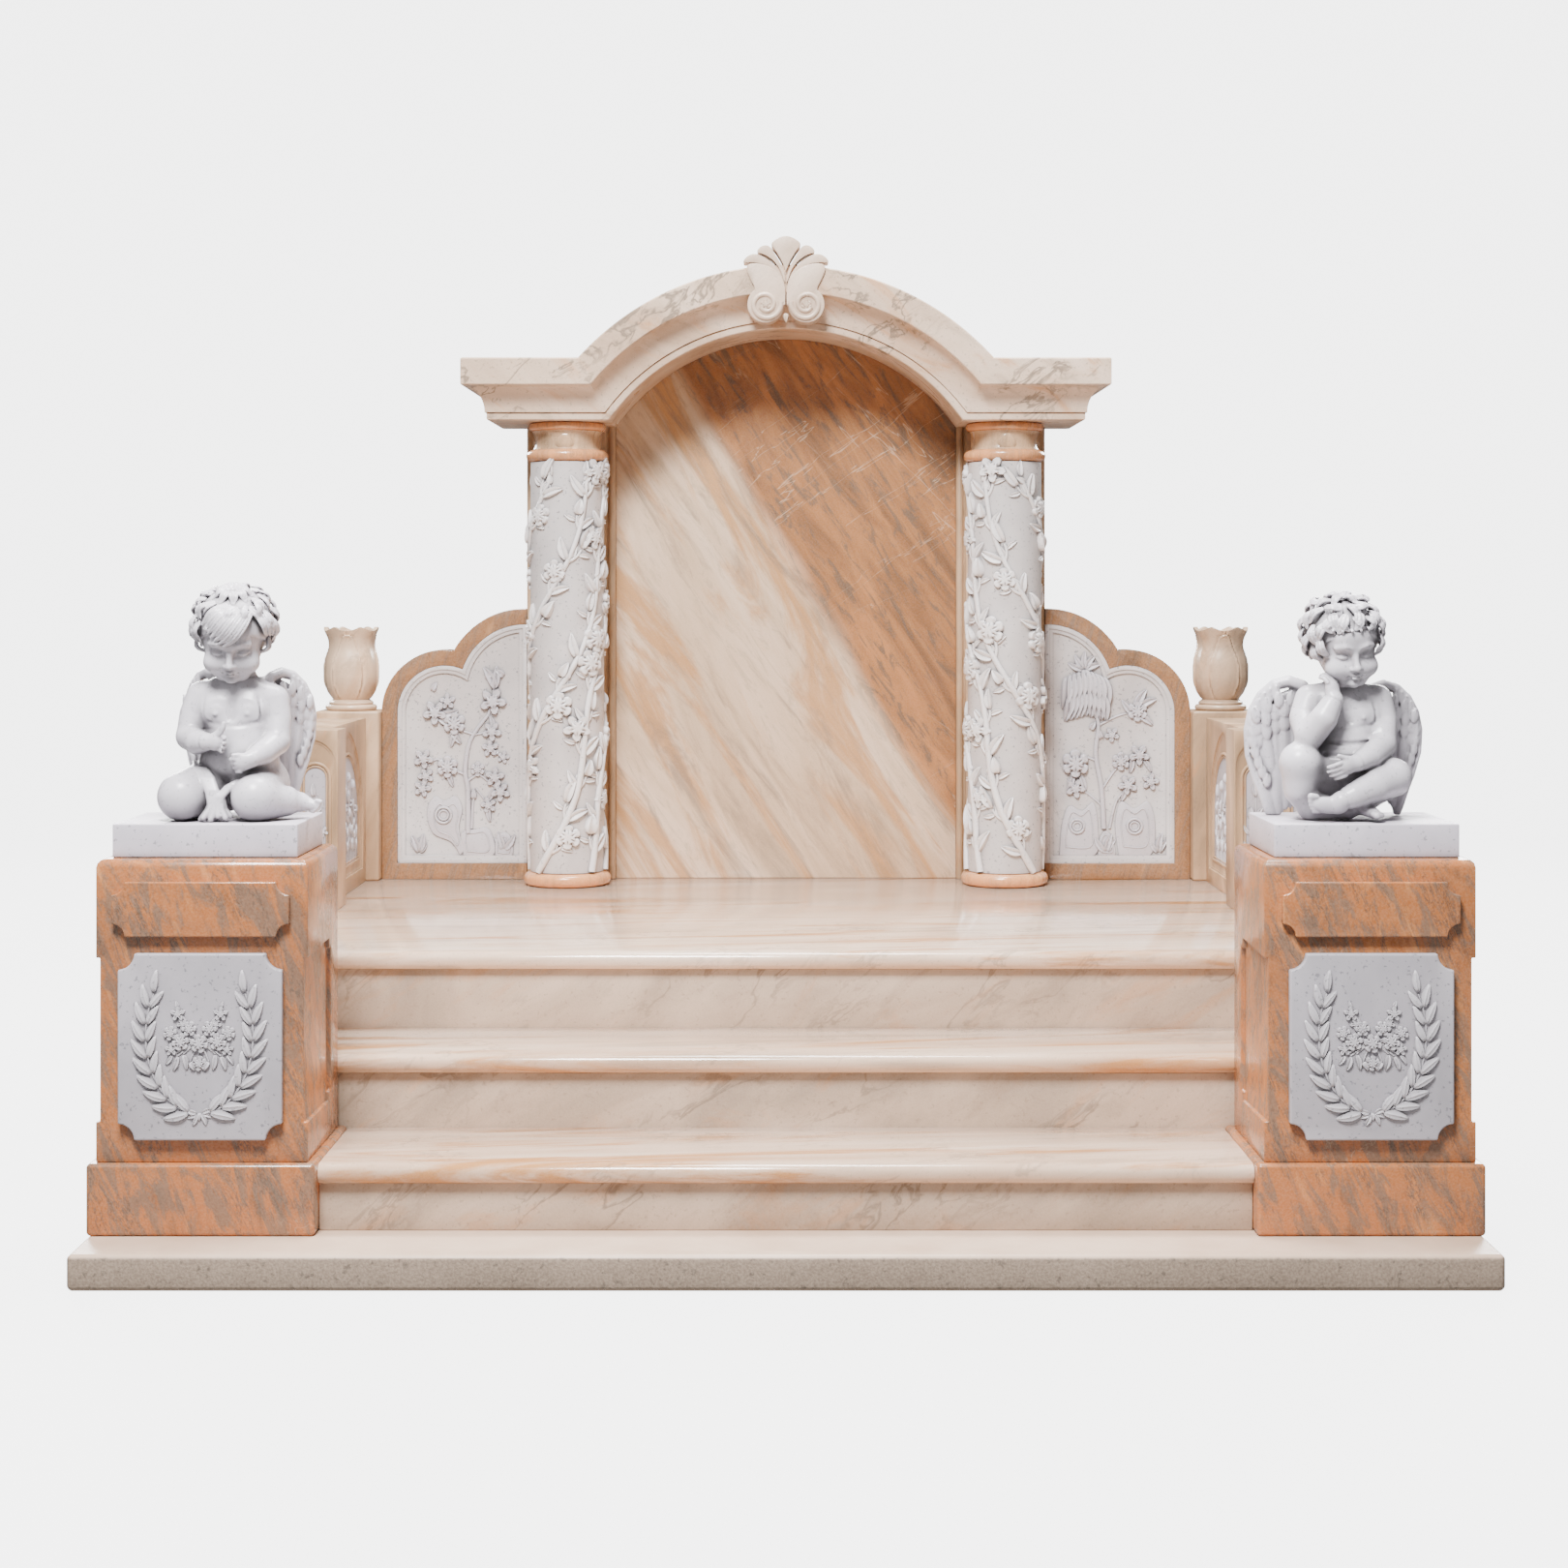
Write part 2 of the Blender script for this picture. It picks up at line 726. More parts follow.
def build_pilaster(side, direction):
    """A flat pier behind the column, with a bead along the edge beside the headstone."""
    inner = ARCH_HALF
    outer = PILASTER_OUTER
    bead = PILASTER_BEAD / 2
    step = PILASTER_STEP
    front = PILASTER_FRONT
    plan = [(outer, HEADSTONE_BACK), (outer, front + step), (outer - step, front)]
    plan += [(inner + 2 * bead + step, front), (inner + 2 * bead + step, front + step)]
    plan += arc((inner + bead, front + bead + step), bead, 0, -180, 6)
    plan += [(inner, HEADSTONE_BACK)]
    outline = [(direction * a, b) for a, b in plan]
    bottom = landing_top() + GAP
    name = f"pilaster_{side}"
    prism(name, outline, bottom, CORNICE_BOTTOM - GAP, "XYZ", "tan marble")


def build_column(side, direction):
    centre = (direction * PILASTER_X, COLUMN_Y)
    half = COLUMN_BASE_HEIGHT / 2
    belly = arc((COLUMN_BASE_RADIUS - half, half), half, -70, 70, 4)
    foot = [(COLUMN_BASE_RADIUS - half, 0)] + belly
    foot += [(COLUMN_BASE_RADIUS - half, COLUMN_BASE_HEIGHT)]
    name = f"column_base_{side}"
    turned(name, foot, (*centre, landing_top() + GAP), "orange marble", COLUMN_SIDES)

    shaft = [(SHAFT_RADIUS, 0), (SHAFT_RADIUS, SHAFT_HEIGHT)]
    name = f"column_shaft_{side}"
    bottom = (*centre, SHAFT_BOTTOM)
    column = turned(name, shaft, bottom, "white marble", SHAFT_SIDES)
    bm = bmesh.new()
    add_vines(bm, round_place(bottom, SHAFT_RADIUS), -direction)
    carve_relief(column, name, bm)

    turned(
        f"column_capital_{side}",
        capital_profile(),
        (*centre, CAPITAL_BOTTOM),
        "orange marble",
        COLUMN_SIDES,
    )


def capital_profile():
    """A ring, a hollow neck and an upper ring."""
    ring = CAPITAL_RING
    neck = CAPITAL_NECK_RADIUS
    profile = [(SHAFT_RADIUS, 0)]
    profile += arc((CAPITAL_RADIUS - ring, ring), ring, -60, 80, 3)
    profile += [(neck * 1.06, CAPITAL_HEIGHT * 0.38), (neck, CAPITAL_HEIGHT * 0.52)]
    profile += [(CAPITAL_RADIUS * 0.95, CAPITAL_HEIGHT * 0.78)]
    profile += [(CAPITAL_RADIUS * 0.97, CAPITAL_HEIGHT)]
    return profile


def vine_point(strand, share, hand):
    """A point on a strand of the vine as (u, v): it winds round the shaft as it climbs."""
    girth = 2 * math.pi * SHAFT_RADIUS
    wave = VINE_SWAY * (math.sin(3 * math.pi * share + 2.1 * strand) - 2)
    u = hand * girth * (strand / VINE_STRANDS + VINE_TURN * share + wave)
    return u, SHAFT_HEIGHT * (0.004 + 0.955 * share)


def add_vines(bm, place, hand):
    """Strands of vine with leaves and flowers by turns."""
    for strand in range(VINE_STRANDS):
        line = [vine_point(strand, i / 9, hand) for i in range(10)]
        add_stem(bm, place, line, VINE_STEM_WIDTH, VINE_RELIEF * 0.8)
        for i in range(VINE_SHOOTS):
            share = (i + 1) / (VINE_SHOOTS + 0.6)
            here = Vector(vine_point(strand, share, hand))
            ahead = Vector(vine_point(strand, share + 0.02, hand))
            run = math.atan2(ahead.y - here.y, ahead.x - here.x)
            lean = VINE_LEAN if i % 2 else -VINE_LEAN
            out = Vector((math.cos(run + lean), math.sin(run + lean)))
            if i % 3 == 1:
                spot = tuple(here + out * VINE_STALK)
                add_flower(bm, place, spot, VINE_FLOWER_RADIUS, VINE_RELIEF, turn=i)
            else:
                length = VINE_LEAF_LENGTH
                width = VINE_LEAF_WIDTH
                add_leaf(bm, place, tuple(here), run + lean, length, width, VINE_RELIEF)


# Cornice
def cornice_profile():
    """(projection, height) points from the soffit's front edge to the top of the fascia."""
    lip = FILLET_PROJECTION
    points = [(0, 0), (lip, 0.35 * FILLET_HEIGHT), (lip, FILLET_HEIGHT)]
    start = lip + CAVETTO_STEP
    reach = CORNICE_PROJECTION - start - CAVETTO_STEP
    for i in range(4):
        angle = math.pi / 2 * i / 3
        out = start + reach * (1 - math.cos(angle))
        points.append((out, FILLET_HEIGHT + CAVETTO_HEIGHT * math.sin(angle)))
    points.append((CORNICE_PROJECTION, FILLET_HEIGHT + CAVETTO_HEIGHT))
    points.append((CORNICE_PROJECTION, CORNICE_HEIGHT))
    return points


def cornice_line(projection, height, y, back_line):
    """One line of the moulding, from the back of the left end round the front and over the
    arch to the back of the right end."""
    end = PILASTER_OUTER + CORNICE_OVERHANG + projection
    z = CORNICE_BOTTOM + height
    radius = ARCH_RADIUS + height
    swing = math.asin(math.sqrt(radius**2 - (z - ARCH_CENTRE_Z) ** 2) / radius)
    line = [] if back_line else [(-end, HEADSTONE_BACK, z)]
    line.append((-end, y, z))
    for i in range(ARCH_SEGMENTS + 1):
        angle = -swing + 2 * swing * i / ARCH_SEGMENTS
        top = ARCH_CENTRE_Z + radius * math.cos(angle)
        line.append((radius * math.sin(angle), y, top))
    line.append((end, y, z))
    if not back_line:
        line.append((end, HEADSTONE_BACK, z))
    return line


def build_cornice():
    """The moulding swept along the straight ends and the arch, with the crest carved on."""
    bm = bmesh.new()
    profile = cornice_profile()
    lines = []
    for projection, height in profile:
        spots = cornice_line(projection, height, CORNICE_FRONT - projection, False)
        lines.append([bm.verts.new(spot) for spot in spots])
    for low, high in zip(lines, lines[1:]):
        join_lines(bm, low, high)
    backs = []
    for line, (projection, height) in ((lines[0], profile[0]), (lines[-1], profile[-1])):
        spots = cornice_line(projection, height, HEADSTONE_BACK, True)
        middle = [bm.verts.new(spot) for spot in spots[1:-1]]
        backs.append([line[0], *middle, line[-1]])
    close_to_back(bm, lines[0], backs[0])
    close_to_back(bm, lines[-1], backs[1])
    join_lines(bm, backs[0], backs[1])
    bm.faces.new([line[0] for line in lines])
    bm.faces.new([line[-1] for line in lines])
    cornice = finish_object("cornice", bm, "cream marble")
    add_boolean(cornice, crest(), "UNION")


def join_lines(bm, low, high):
    for i in range(len(low) - 1):
        bm.faces.new((low[i], low[i + 1], high[i + 1], high[i]))


def close_to_back(bm, front, back):
    """Faces from a front line to its back line, which has no separate corner points."""
    bm.faces.new((front[0], front[1], front[2], back[1]))
    for i in range(2, len(front) - 3):
        bm.faces.new((front[i], front[i + 1], back[i], back[i - 1]))
    bm.faces.new((front[-3], front[-2], front[-1], back[-2]))


def crest():
    """A palmette of five rounded lobes over two scrolls, on the crown of the arch."""
    foot = ARCH_CENTRE_Z + ARCH_RADIUS + CREST_RAISE
    hub = Vector((0, foot + CREST_HEIGHT * CREST_HUB_SHARE))
    near = CORNICE_FRONT - CORNICE_PROJECTION - CREST_PROUD
    far = near + CREST_THICKNESS
    bm = bmesh.new()
    reach = foot + CREST_HEIGHT - hub.y
    lobes = ((0, 1.0, 0.36), (50, 1.0, 0.22), (78, 1.2, 0.20))
    for lean, length_share, width_share in lobes:
        for direction in (-1, 1) if lean else (1,):
            heading = math.radians(90 - direction * lean)
            along = Vector((math.cos(heading), math.sin(heading)))
            length = reach * length_share
            width = reach * width_share
            add_slab(bm, lobe_rim(hub, along, length, width), near, far)
    for direction in (-1, 1):
        centre = (direction * SCROLL_SPREAD, foot + SCROLL_RADIUS)
        rim = [Vector(point) for point in arc(centre, SCROLL_RADIUS, 0, 315, 7)]
        add_slab(bm, rim, near, far)
        arm = [
            Vector((-direction * SCROLL_ARM_INSET, hub.y + SCROLL_ARM_LIFT)),
            Vector((-direction * SCROLL_ARM_INSET, foot + SCROLL_RADIUS * 0.6)),
            Vector((direction * SCROLL_SPREAD, foot + SCROLL_RADIUS * 1.5)),
            Vector((direction * SCROLL_SPREAD, foot + SCROLL_RADIUS * 1.9)),
            Vector((direction * SCROLL_SPREAD / 2, hub.y + SCROLL_ARM_INSET)),
        ]
        add_slab(bm, arm, near + SCROLL_ARM_INSET, far - SCROLL_ARM_INSET / 2)
    return finish_object("crest_shape", bm, None)


def lobe_rim(start, along, length, width):
    """A lobe that widens from start to a round end."""
    across = Vector((-along.y, along.x))
    rim = []
    for share, half in ((0, -0.35), (0.75, -1), (0.98, -0.5), (0.98, 0.5), (0.75, 1), (0, 0.35)):
        rim.append(start + along * length * share + across * width * half)
    return rim


def add_slab(bm, rim, near, far):
    """A closed slab over a rim of (x, z) points, domed a little towards the front."""
    middle = sum(rim, Vector((0, 0))) / len(rim)
    front = [bm.verts.new((p.x, near + CREST_DOME, p.y)) for p in rim]
    back = [bm.verts.new((p.x, far, p.y)) for p in rim]
    peak = bm.verts.new((middle.x, near, middle.y))
    for i, vert in enumerate(front):
        bm.faces.new((vert, front[(i + 1) % len(front)], peak))
    bridge(bm, back, front)
    bm.faces.new(reversed(back))


# Wings
def wing_outline(direction, margin, inner_margin=0.0):
    """The wing's outline in X and Z, drawn in by margin round its outer side and its top and
    by inner_margin on the column's side: two lobes that meet in a cusp."""
    bottom = landing_top() + GAP + margin
    inner = PILASTER_OUTER + GAP
    outer = inner + WING_WIDTH
    low_radius = WING_WIDTH * LOW_LOBE_SHARE
    high_radius = WING_WIDTH * HIGH_LOBE_SHARE
    top = landing_top() + WING_HEIGHT
    low_centre = (outer - low_radius, top - WING_LOW_LOBE_DROP)
    high_centre = (inner + WING_HIGH_LOBE_SHIFT, top - high_radius)
    low = low_radius - margin
    high = high_radius - margin
    cusp = circles_meet(low_centre, low, high_centre, high)
    from_low = math.degrees(math.atan2(cusp[1] - low_centre[1], cusp[0] - low_centre[0]))
    from_high = math.degrees(math.atan2(cusp[1] - high_centre[1], cusp[0] - high_centre[0]))
    near = inner + inner_margin
    end = math.degrees(math.acos(max(near - high_centre[0], 0) / high))
    outline = [(near, bottom), (outer - margin, bottom)]
    outline += arc(low_centre, low, 0, from_low, LOBE_STEPS)
    outline += arc(high_centre, high, from_high, end, LOBE_STEPS)[1:]
    if near < high_centre[0]:
        outline.append((near, high_centre[1] + high))
    return [(direction * a, b) for a, b in outline]


def circles_meet(centre_a, radius_a, centre_b, radius_b):
    """The upper point where two circles cross."""
    a = Vector(centre_a)
    b = Vector(centre_b)
    span = (b - a).length
    along = (radius_a**2 - radius_b**2 + span**2) / (2 * span)
    rise = math.sqrt(radius_a**2 - along**2)
    axis = (b - a) / span
    foot = a + axis * along
    one = foot + Vector((-axis.y, axis.x)) * rise
    two = foot - Vector((-axis.y, axis.x)) * rise
    return tuple(one if one.y > two.y else two)


def build_wing(side, direction):
    back = WING_FRONT + WING_THICKNESS
    outline = wing_outline(direction, 0)
    name = f"wing_frame_{side}"
    frame = prism(name, outline, WING_FRONT, back, "XZY", "orange marble")
    seat = WING_FRONT + WING_PANEL_THICKNESS + GAP
    pocket = wing_outline(direction, WING_BORDER, -CUT_MARGIN)
    near = WING_FRONT - CUT_MARGIN
    cutter = prism(f"pocket_cutter_{side}", pocket, near, seat, "XZY", None)
    add_boolean(frame, cutter, "DIFFERENCE")

    name = f"wing_panel_{side}"
    plate = wing_outline(direction, WING_BORDER + GAP)
    front = WING_FRONT + WING_PANEL_SETBACK
    panel = prism(name, plate, front, seat - GAP, "XZY", "white marble")
    field = wing_outline(direction, WING_BORDER + WING_MOULDING, WING_MOULDING)
    floor = front + WING_FIELD_DEPTH
    cutter = prism(f"field_cutter_{side}", field, front - CUT_MARGIN, floor, "XZY", None)
    add_boolean(panel, cutter, "DIFFERENCE")
    inner = PILASTER_OUTER + GAP + WING_MOULDING
    bottom = landing_top() + WING_BORDER + WING_MOULDING
    bm = bmesh.new()
    width = WING_WIDTH - WING_BORDER - 2 * WING_MOULDING
    height = WING_HEIGHT - 2 * (WING_BORDER + WING_MOULDING)
    place = wing_place(direction, inner, floor, bottom)
    add_blossom_tree(bm, place, width, height)
    carve_relief(panel, name, bm)


def wing_place(direction, inner, floor, bottom):
    """A wing's field: u runs out from the column's side, v up."""
    return lambda u, v, height: (direction * (inner + u), floor - height, bottom + v)


def add_blossom_tree(bm, place, width, height):
    """A blossoming tree that grows out of rocks, as shares of the field's size."""
    def at(u, v):
        return (u * width, v * height)

    rocks = (
        ((0.30, 0.0), (0.32, 0.12), (0.46, 0.125), (0.52, 0.0)),
        ((0.53, 0.0), (0.50, 0.20), (0.60, 0.27), (0.76, 0.25), (0.80, 0.10), (0.72, 0.0)),
        ((0.06, 0.0), (0.10, 0.07), (0.24, 0.09), (0.28, 0.0)),
        ((0.82, 0.0), (0.84, 0.08), (0.93, 0.12), (0.95, 0.0)),
    )
    for rock in rocks:
        rim = [at(u, v) for u, v in rock]
        peak = at(sum(p[0] for p in rock) / len(rock), sum(p[1] for p in rock) / len(rock))
        add_tent(bm, place, rim, peak, WING_RELIEF * 0.7, bed=ROCK_BED)
    trunk = [at(0.46, 0.10), at(0.47, 0.32), at(0.43, 0.52), at(0.28, 0.68), at(0.22, 0.78)]
    add_stem(bm, place, trunk, WING_TRUNK_WIDTH, WING_RELIEF)
    for branch in (
        (at(0.43, 0.52), at(0.62, 0.58), at(0.76, 0.66)),
        (at(0.43, 0.52), at(0.30, 0.53), at(0.20, 0.50)),
        (at(0.47, 0.34), at(0.62, 0.40), at(0.82, 0.44)),
        (at(0.47, 0.34), at(0.30, 0.33), at(0.16, 0.30)),
    ):
        add_stem(bm, place, branch, WING_BRANCH_WIDTH, WING_RELIEF * 0.8)
    blossoms = (
        (0.20, 0.72),
        (0.70, 0.66),
        (0.20, 0.47),
        (0.82, 0.44),
        (0.62, 0.39),
        (0.30, 0.38),
        (0.14, 0.32),
    )
    for i, (u, v) in enumerate(blossoms):
        add_flower(bm, place, at(u, v), BLOSSOM_RADIUS, WING_RELIEF, turn=0.7 * i)
    leaves = (
        (0.20, 0.80, 1.9),
        (0.13, 0.80, 1.1),
        (0.80, 0.40, -0.9),
        (0.55, 0.34, -1.2),
        (0.84, 0.30, -1.6),
    )
    for u, v, heading in leaves:
        add_leaf(bm, place, at(u, v), heading, WING_LEAF_LENGTH, WING_LEAF_WIDTH, WING_RELIEF)


# Corner posts, side walls and piers
def arched_outline(middle, bottom, top, width):
    """An upright panel with a round head, in (a, b)."""
    radius = width / 2
    head = arc((middle, top - radius), radius, 0, 180, 8)
    return [(middle + radius, bottom)] + head + [(middle - radius, bottom)]


def pointed_outline(middle, bottom, top, width):
    """The hood round an arched panel: straight sides and a pointed head."""
    half = width / 2
    shoulder = top - width * 0.62
    return [
        (middle + half, bottom),
        (middle + half, shoulder),
        (middle + half * 0.62, top - width * 0.22),
        (middle, top),
        (middle - half * 0.62, top - width * 0.22),
        (middle - half, shoulder),
        (middle - half, bottom),
    ]


def set_arched_panel(stone_obj, name, middle, sizes, face, inward, axes):
    """Cuts a hood and a pocket into a wall and sets a white panel in the pocket. sizes are
    the panel's and the hood's widths, face is the wall's face along the sweep axis, and
    inward the direction into the stone."""
    width, hood_width = sizes
    bottom = landing_top() + ARCHED_PANEL_BOTTOM
    top = landing_top() + SIDE_WALL_HEIGHT - ARCHED_PANEL_TOP
    hood_top = landing_top() + SIDE_WALL_HEIGHT - HOOD_BELOW_WALL_TOP
    hood_floor = face + inward * HOOD_SUNK
    before = face - inward * CUT_MARGIN
    hood = pointed_outline(middle, bottom - HOOD_BELOW_PANEL, hood_top, hood_width)
    cutter = prism(f"hood_cutter_{name}", hood, before, hood_floor, axes, None)
    add_boolean(stone_obj, cutter, "DIFFERENCE")
    seat = face + inward * (ARCHED_PANEL_SUNK + ARCHED_PANEL_THICKNESS + GAP)
    pocket = arched_outline(middle, bottom, top, width)
    cutter = prism(f"pocket_cutter_{name}", pocket, before, seat, axes, None)
    add_boolean(stone_obj, cutter, "DIFFERENCE")
    plate = arched_outline(middle, bottom + GAP, top - GAP, width - 2 * GAP)
    near = face + inward * ARCHED_PANEL_SUNK
    far = seat - inward * GAP
    prism(name, plate, near, far, axes, "white marble")


def build_side(side, direction):
    bottom = landing_top() + GAP
    top = landing_top() + SIDE_WALL_HEIGHT

    def spread(near, far):
        return sorted((direction * near, direction * far))

    low_x, high_x = spread(PIER_INNER, PIER_INNER + POST_WIDTH)
    block(
        f"corner_post_{side}",
        (low_x, POST_FRONT, bottom),
        (high_x, HEADSTONE_BACK, landing_top() + POST_HEIGHT),
        "tan marble",
        bevel=POST_EASE,
    )
    low_x, high_x = spread(WALL_INNER, WALL_INNER + SIDE_WALL_THICKNESS)
    wall = block(
        f"side_wall_{side}",
        (low_x, WALL_FRONT + GAP, bottom),
        (high_x, POST_FRONT - GAP, top),
        "tan marble",
        bevel=0,
    )
    middle = (WALL_FRONT + POST_FRONT) / 2
    name = f"side_wall_panel_{side}"
    face = direction * WALL_INNER
    sizes = (WALL_PANEL_WIDTH, WALL_HOOD_WIDTH)
    set_arched_panel(wall, name, middle, sizes, face, direction, "YZX")

    low_x, high_x = spread(PIER_INNER, TERRACE_HALF)
    pier = block(
        f"side_pier_{side}",
        (low_x, WALL_FRONT - PIER_DEPTH, bottom),
        (high_x, WALL_FRONT, top),
        "tan marble",
        bevel=0,
    )
    for place, offset in (("inner", -0.5), ("outer", 0.5)):
        middle = direction * (PIER_INNER + PIER_WIDTH / 2 + offset * PIER_PANEL_SPACING)
        name = f"pier_panel_{place}_{side}"
        front = WALL_FRONT - PIER_DEPTH
        sizes = (PIER_PANEL_WIDTH, PIER_HOOD_WIDTH)
        set_arched_panel(pier, name, middle, sizes, front, 1, "XZY")


# Vases
def vase_profile():
    """(radius, height) shares up the outside of the bowl, above the foot ring."""
    return (
        (0.74, 0.170),
        (0.97, 0.300),
        (0.98, 0.480),
        (0.84, 0.800),
        (1.03, 1.000),
    )


def build_vase(side, direction):
    """A tulip vase: six petals round a hollow bowl on a turned foot."""
    x = direction * POST_X
    y = (POST_FRONT + HEADSTONE_BACK) / 2
    z = landing_top() + POST_HEIGHT + GAP
    around = 3 * VASE_PETALS
    bm = bmesh.new()
    rings = []

    def ring(radius, height, groove, crown=0.0):
        spots = []
        for i in range(around):
            angle = 2 * math.pi * i / around + math.pi / 2 + math.pi / VASE_PETALS
            dip = groove if i % 3 == 0 else 0
            lift = crown * (0.5 - 0.5 * math.cos(VASE_PETALS * angle + math.pi))
            out = radius - dip
            spot = (x + out * math.cos(angle), y + out * math.sin(angle), z + height + lift)
            spots.append(bm.verts.new(spot))
        rings.append(spots)

    ring(VASE_FOOT_RADIUS, 0, 0)
    ring(VASE_FOOT_RADIUS, VASE_FOOT_HEIGHT, 0)
    ring(VASE_STEM_RADIUS, VASE_STEM_HEIGHT, 0)
    for radius, height in vase_profile():
        crown = VASE_CROWN if height == 1.0 else 0.0
        ring(VASE_RADIUS * radius, VASE_HEIGHT * height - crown, VASE_GROOVE, crown)
    inner = list(vase_profile())[2:]
    for radius, height in reversed(inner):
        crown = VASE_CROWN if height == 1.0 else 0.0
        ring(VASE_RADIUS * radius - VASE_WALL, VASE_HEIGHT * height - crown, 0, crown)
    ring(VASE_FLOOR_RADIUS, VASE_FLOOR, 0)
    for lower, upper in zip(rings, rings[1:]):
        bridge(bm, lower, upper)
    bm.faces.new(reversed(rings[0]))
    bm.faces.new(rings[-1])
    finish_object(f"vase_{side}", bm, "tan marble")


# Cherubs: chains of (x, y, z, radius) stations, as shares of the figure's height. x runs to
# the viewer's right, y to the back and z up from the base.
KNEELING_CHERUB = {
    "hair": [(-0.010, -0.010, 0.800, 0.186)],
    "nape": [(0.0, 0.030, 0.735, 0.150)],
    "cheeks": [(-0.035, -0.080, 0.690, 0.095), (0.035, -0.080, 0.690, 0.095)],
    "chin": [(0.0, -0.110, 0.640, 0.055)],
    "neck": [(0.0, 0.010, 0.640, 0.080), (0.0, 0.030, 0.560, 0.095)],
    "chest": [(-0.070, 0.010, 0.500, 0.105), (0.080, 0.010, 0.500, 0.105)],
    "belly": [(0.0, 0.0, 0.380, 0.150), (0.010, -0.010, 0.270, 0.165)],
    "seat": [(-0.080, 0.060, 0.160, 0.130), (0.090, 0.060, 0.160, 0.130)],
    "right_arm": [
        (-0.170, 0.010, 0.530, 0.070),
        (-0.205, -0.030, 0.350, 0.056),
        (-0.095, -0.150, 0.335, 0.042),
        (-0.010, -0.185, 0.330, 0.040),
    ],
    "left_arm": [
        (0.180, 0.010, 0.530, 0.070),
        (0.200, -0.030, 0.335, 0.056),
        (0.120, -0.150, 0.265, 0.042),
        (0.060, -0.185, 0.240, 0.040),
    ],
    "right_leg": [
        (-0.080, 0.040, 0.150, 0.115),
        (-0.195, -0.150, 0.108, 0.104),
        (-0.200, 0.140, 0.062, 0.058),
    ],
    "left_leg": [
        (0.100, 0.040, 0.150, 0.115),
        (0.130, -0.160, 0.108, 0.106),
        (0.270, 0.020, 0.060, 0.055),
        (0.345, -0.010, 0.050, 0.045),
    ],
    "loincloth": [(-0.120, -0.130, 0.190, 0.045), (-0.035, -0.180, 0.050, 0.050)],
    "right_wing": [
        (-0.070, 0.095, 0.480, 0.060),
        (-0.130, 0.170, 0.640, 0.040),
        (-0.215, 0.200, 0.600, 0.035),
        (-0.225, 0.205, 0.450, 0.035),
        (-0.190, 0.205, 0.320, 0.030),
    ],
    "left_wing": [
        (0.080, 0.095, 0.480, 0.060),
        (0.200, 0.170, 0.645, 0.040),
        (0.280, 0.200, 0.590, 0.035),
        (0.285, 0.205, 0.430, 0.035),
        (0.250, 0.205, 0.280, 0.030),
    ],
}
SEATED_CHERUB = {
    "hair": [(-0.015, -0.010, 0.800, 0.184)],
    "nape": [(0.0, 0.030, 0.735, 0.150)],
    "cheeks": [(-0.020, -0.085, 0.700, 0.095), (0.050, -0.085, 0.700, 0.095)],
    "chin": [(0.015, -0.115, 0.650, 0.055)],
    "neck": [(0.015, 0.010, 0.640, 0.080), (0.020, 0.030, 0.560, 0.095)],
    "chest": [(-0.050, 0.010, 0.500, 0.105), (0.090, 0.010, 0.500, 0.105)],
    "belly": [(0.020, 0.0, 0.380, 0.140), (0.010, -0.010, 0.250, 0.150)],
    "seat": [(-0.080, 0.040, 0.140, 0.130), (0.090, 0.040, 0.140, 0.130)],
    "right_arm": [
        (-0.165, 0.0, 0.530, 0.070),
        (-0.160, -0.130, 0.350, 0.058),
        (-0.080, -0.160, 0.520, 0.044),
        (-0.100, -0.150, 0.620, 0.045),
    ],
    "left_arm": [
        (0.175, 0.010, 0.530, 0.070),
        (0.160, -0.040, 0.345, 0.058),
        (0.020, -0.170, 0.270, 0.046),
        (-0.070, -0.215, 0.235, 0.042),
    ],
    "right_leg": [
        (-0.080, 0.030, 0.150, 0.110),
        (-0.225, -0.110, 0.250, 0.092),
        (-0.225, -0.110, 0.090, 0.075),
        (0.050, -0.160, 0.045, 0.040),
        (0.140, -0.190, 0.038, 0.036),
    ],
    "left_leg": [
        (0.100, 0.030, 0.140, 0.110),
        (0.195, -0.110, 0.185, 0.085),
        (-0.090, -0.210, 0.095, 0.052),
        (-0.175, -0.225, 0.080, 0.055),
    ],
    "right_wing": [
        (-0.070, 0.100, 0.450, 0.070),
        (-0.180, 0.170, 0.620, 0.060),
        (-0.300, 0.200, 0.680, 0.050),
        (-0.410, 0.190, 0.560, 0.045),
        (-0.430, 0.180, 0.400, 0.040),
        (-0.390, 0.185, 0.230, 0.040),
        (-0.310, 0.190, 0.110, 0.035),
    ],
    "left_wing": [
        (0.090, 0.100, 0.450, 0.070),
        (0.150, 0.170, 0.620, 0.060),
        (0.230, 0.200, 0.670, 0.050),
        (0.340, 0.190, 0.560, 0.045),
        (0.370, 0.180, 0.400, 0.040),
        (0.330, 0.185, 0.230, 0.040),
        (0.255, 0.190, 0.110, 0.035),
    ],
}
# Wings are this much thinner front to back than they are wide
WING_THINNING = 0.45


def ball_directions():
    """Evenly spread directions from the middle of a ball."""
    ball = bmesh.new()
    bmesh.ops.create_icosphere(ball, subdivisions=3, radius=1)
    directions = [vert.co.copy() for vert in ball.verts]
    ball.free()
    return directions


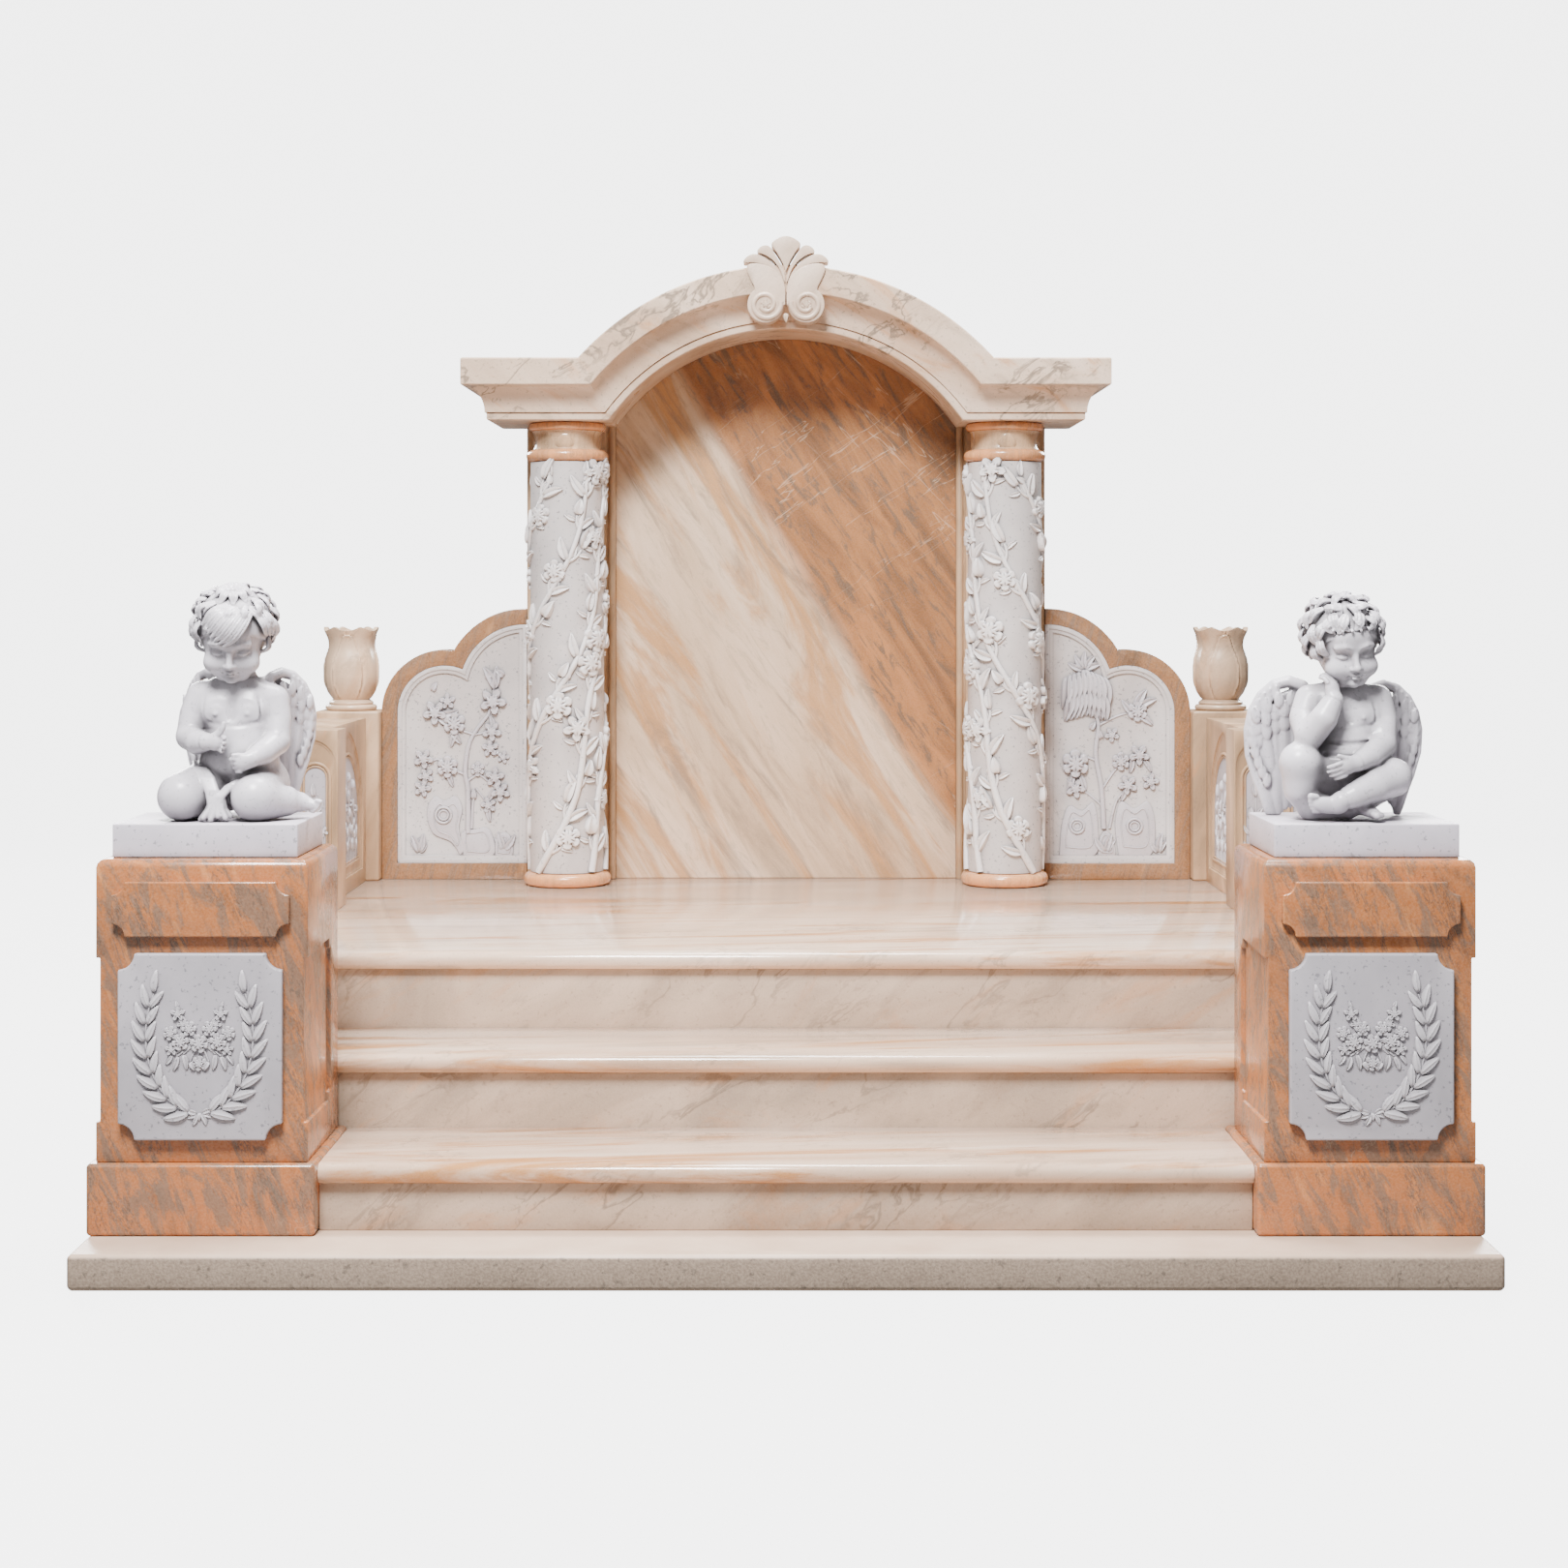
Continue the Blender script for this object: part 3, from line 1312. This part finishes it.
def limb_spans(name, stations):
    """The groups of stations that are filled in together: neighbours along a limb, or for a
    wing its root with each stretch of its edge."""
    if "wing" in name:
        root = stations[0]
        edge = stations[1:]
        return [(root, here, ahead) for here, ahead in zip(edge, edge[1:])]
    return list(zip(stations, stations[1:])) or [stations]


def add_limb(bm, spans, directions, thinning):
    """The hull round the balls of every span."""
    for span in spans:
        verts = []
        for x, y, z, radius in span:
            for way in directions:
                spot = (x + radius * way.x, y + radius * thinning * way.y, z + radius * way.z)
                verts.append(bm.verts.new(spot))
        hull = bmesh.ops.convex_hull(bm, input=verts)
        inside = [item for item in hull["geom_interior"] if isinstance(item, bmesh.types.BMVert)]
        bmesh.ops.delete(bm, geom=inside, context="VERTS")


def build_cherub(side, direction, figure, height, shift):
    """Limbs blended into one solid, cut flat where it sits on its base."""
    bm = bmesh.new()
    directions = ball_directions()
    for name, stations in figure.items():
        thinning = WING_THINNING if "wing" in name else 1.0
        add_limb(bm, limb_spans(name, stations), directions, thinning)
    bmesh.ops.scale(bm, vec=(height, height, height), verts=bm.verts)
    cherub = finish_object(f"cherub_{side}", bm, "white marble")
    cherub.location = (direction * PEDESTAL_X + shift * height, CHERUB_Y, CHERUB_FLOOR)
    remesh = cherub.modifiers.new("Blend", "REMESH")
    remesh.mode = "VOXEL"
    remesh.voxel_size = CHERUB_BLEND * height
    soften = cherub.modifiers.new("Soften", "SMOOTH")
    soften.iterations = CHERUB_SOFTENING
    thin = cherub.modifiers.new("Reduce", "DECIMATE")
    thin.ratio = CHERUB_KEPT_SHARE
    low = (-height, -height, -height / 2)
    below = block(f"floor_cutter_{side}", low, (height, height, 0), None, bevel=0)
    below.location = cherub.location
    add_boolean(cherub, below, "DIFFERENCE")


def build():
    clear_scene()
    build_base()
    build_steps()
    build_headstone()
    build_cornice()
    for side, direction in sides():
        build_pedestal(side, direction)
        build_pilaster(side, direction)
        build_column(side, direction)
        build_wing(side, direction)
        build_side(side, direction)
        build_vase(side, direction)
    build_cherub("left", -1, KNEELING_CHERUB, KNEELING_CHERUB_HEIGHT, KNEELING_SHIFT)
    build_cherub("right", 1, SEATED_CHERUB, SEATED_CHERUB_HEIGHT, SEATED_SHIFT)


build()
